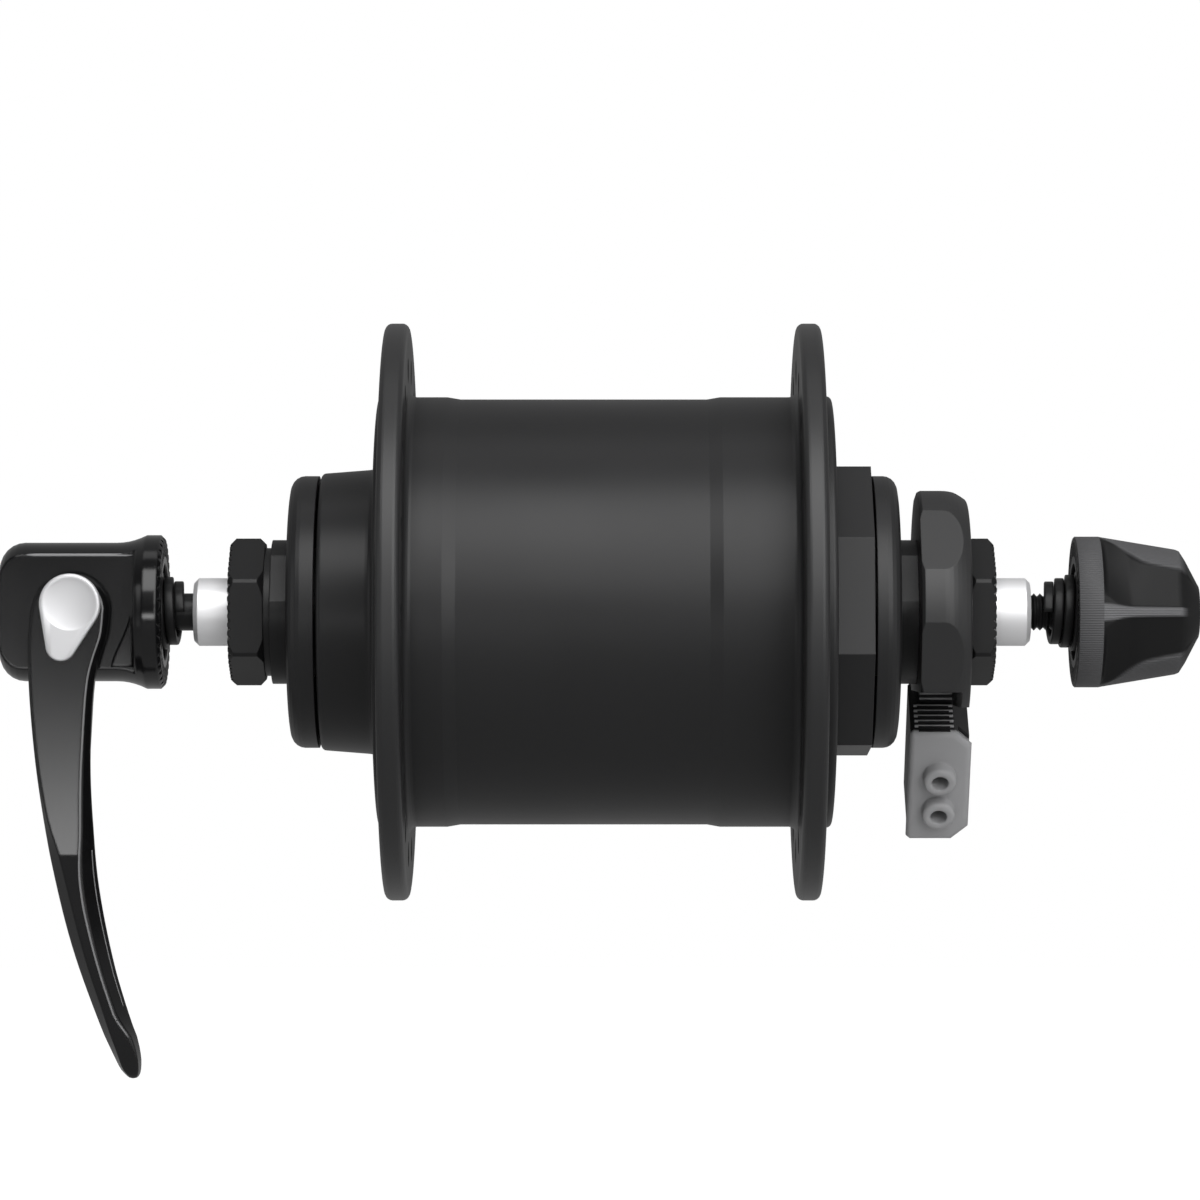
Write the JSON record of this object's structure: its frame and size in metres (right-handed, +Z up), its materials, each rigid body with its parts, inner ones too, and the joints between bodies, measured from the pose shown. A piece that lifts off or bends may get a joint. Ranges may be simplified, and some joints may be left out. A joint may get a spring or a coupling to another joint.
{
  "type": "bicycle hub dynamo",
  "caption": "Front bicycle hub with a built-in generator: flanged shell on a hollow axle, clip-on lamp connector and a quick release skewer with cam lever and adjusting nut.",
  "frame": {"origin": "on the axle axis, midway between the outer faces of the lock nuts", "axes": "+X along the axle from the lever towards the adjusting nut, +Z up, +Y away from the lever's face"},
  "size_m": [0.1575, 0.0756, 0.0988],
  "materials": {
    "axle_steel": "bright turned steel",
    "dark_steel": "black oxide steel, satin",
    "shell_black": "satin black paint on aluminium",
    "bearing_steel": "ground steel",
    "stator_steel": "stamped steel",
    "magnet": "plated magnet",
    "copper": "enamelled copper wire",
    "bobbin_plastic": "moulded",
    "lead_plastic": "insulated lead",
    "black_plastic": "moulded, fine grain",
    "grey_plastic": "moulded, semi matt",
    "seal_rubber": "moulded",
    "cage_plastic": "moulded",
    "contact_brass": "stamped",
    "gloss_black": "gloss black",
    "cam_silver": "bright plated",
    "rod_black": "black steel"
  },
  "bodies": {
    "axle_set": {"axle": "axle_steel", "left_cone": "dark_steel", "right_cone": "dark_steel", "left_washer": "dark_steel", "left_lock_nut": "dark_steel", "right_lock_nut": "dark_steel", "left_dust_cover": "shell_black", "right_dust_cover": "shell_black", "stator_core": "stator_steel", "left_claw_pole": "stator_steel", "right_claw_pole": "stator_steel", "coil_bobbin": "bobbin_plastic", "coil_winding": "copper", "left_stator_nut": "bearing_steel", "right_stator_nut": "bearing_steel", "coil_lead": "lead_plastic", "terminal_ring": "black_plastic", "terminal_contacts": "contact_brass"},
    "hub_shell": {"hub_shell": "shell_black", "right_end_cap": "shell_black", "cap_o_ring": "seal_rubber", "rotor_yoke": "stator_steel", "rotor_magnets": "magnet", "left_bearing_cup": "bearing_steel", "right_bearing_cup": "bearing_steel", "left_seal": "seal_rubber", "right_seal": "seal_rubber"},
    "left_ball_set": {"left_balls": "bearing_steel", "left_ball_cage": "cage_plastic"},
    "right_ball_set": {"right_balls": "bearing_steel", "right_ball_cage": "cage_plastic"},
    "left_spring": {"left_spring": "rod_black"},
    "lever_housing": {"lever_housing": "gloss_black"},
    "lever": {"lever": "gloss_black", "cam_shaft": "cam_silver"},
    "skewer_rod": {"skewer_rod": "rod_black"},
    "right_spring": {"right_spring": "rod_black"},
    "adjusting_nut": {"adjusting_nut": "black_plastic", "nut_insert": "dark_steel"},
    "connector": {"connector_cover": "black_plastic", "connector_cap": "grey_plastic"}
  },
  "joints": [
    {"name": "shell_spin", "type": "hinge", "parent": "axle_set", "child": "hub_shell", "pos_m": [0, 0, 0], "axis": [1, 0, 0], "continuous": true},
    {"name": "left_cage_spin", "type": "hinge", "parent": "axle_set", "child": "left_ball_set", "pos_m": [0, 0, 0], "axis": [1, 0, 0], "continuous": true},
    {"name": "right_cage_spin", "type": "hinge", "parent": "axle_set", "child": "right_ball_set", "pos_m": [0, 0, 0], "axis": [1, 0, 0], "continuous": true},
    {"name": "skewer_slide", "type": "slide", "parent": "axle_set", "child": "left_spring", "axis": [1, 0, 0], "range_m": [-0.0012, 0.0008]},
    {"name": "skewer_turn", "type": "hinge", "parent": "left_spring", "child": "lever_housing", "pos_m": [-0.0587, 0, 0], "axis": [1, 0, 0], "continuous": true},
    {"name": "lever_swing", "type": "hinge", "parent": "lever_housing", "child": "lever", "pos_m": [-0.0704, 0, 0], "axis": [0, 1, 0], "range_deg": [0, 180]},
    {"name": "cam_pull", "type": "slide", "parent": "lever_housing", "child": "skewer_rod", "axis": [1, 0, 0], "range_m": [-0.0001, 0.0019]},
    {"name": "nut_travel", "type": "slide", "parent": "skewer_rod", "child": "right_spring", "axis": [1, 0, 0], "range_m": [0, 0.004]},
    {"name": "nut_turn", "type": "hinge", "parent": "right_spring", "child": "adjusting_nut", "pos_m": [0.0606, 0, 0], "axis": [1, 0, 0], "range_deg": [-30, 1830]},
    {"name": "connector_unplug", "type": "slide", "parent": "axle_set", "child": "connector", "axis": [0, 0.6, -0.8], "range_m": [0, 0.014]}
  ],
  "couplings": [
    {"joint": "left_cage_spin", "follows": "shell_spin", "ratio": 0.619},
    {"joint": "right_cage_spin", "follows": "shell_spin", "ratio": 0.619},
    {"joint": "cam_pull", "follows": "lever_swing", "m_per_rad": 0.00057296},
    {"joint": "nut_turn", "follows": "nut_travel", "rad_per_m": 7854}
  ]
}
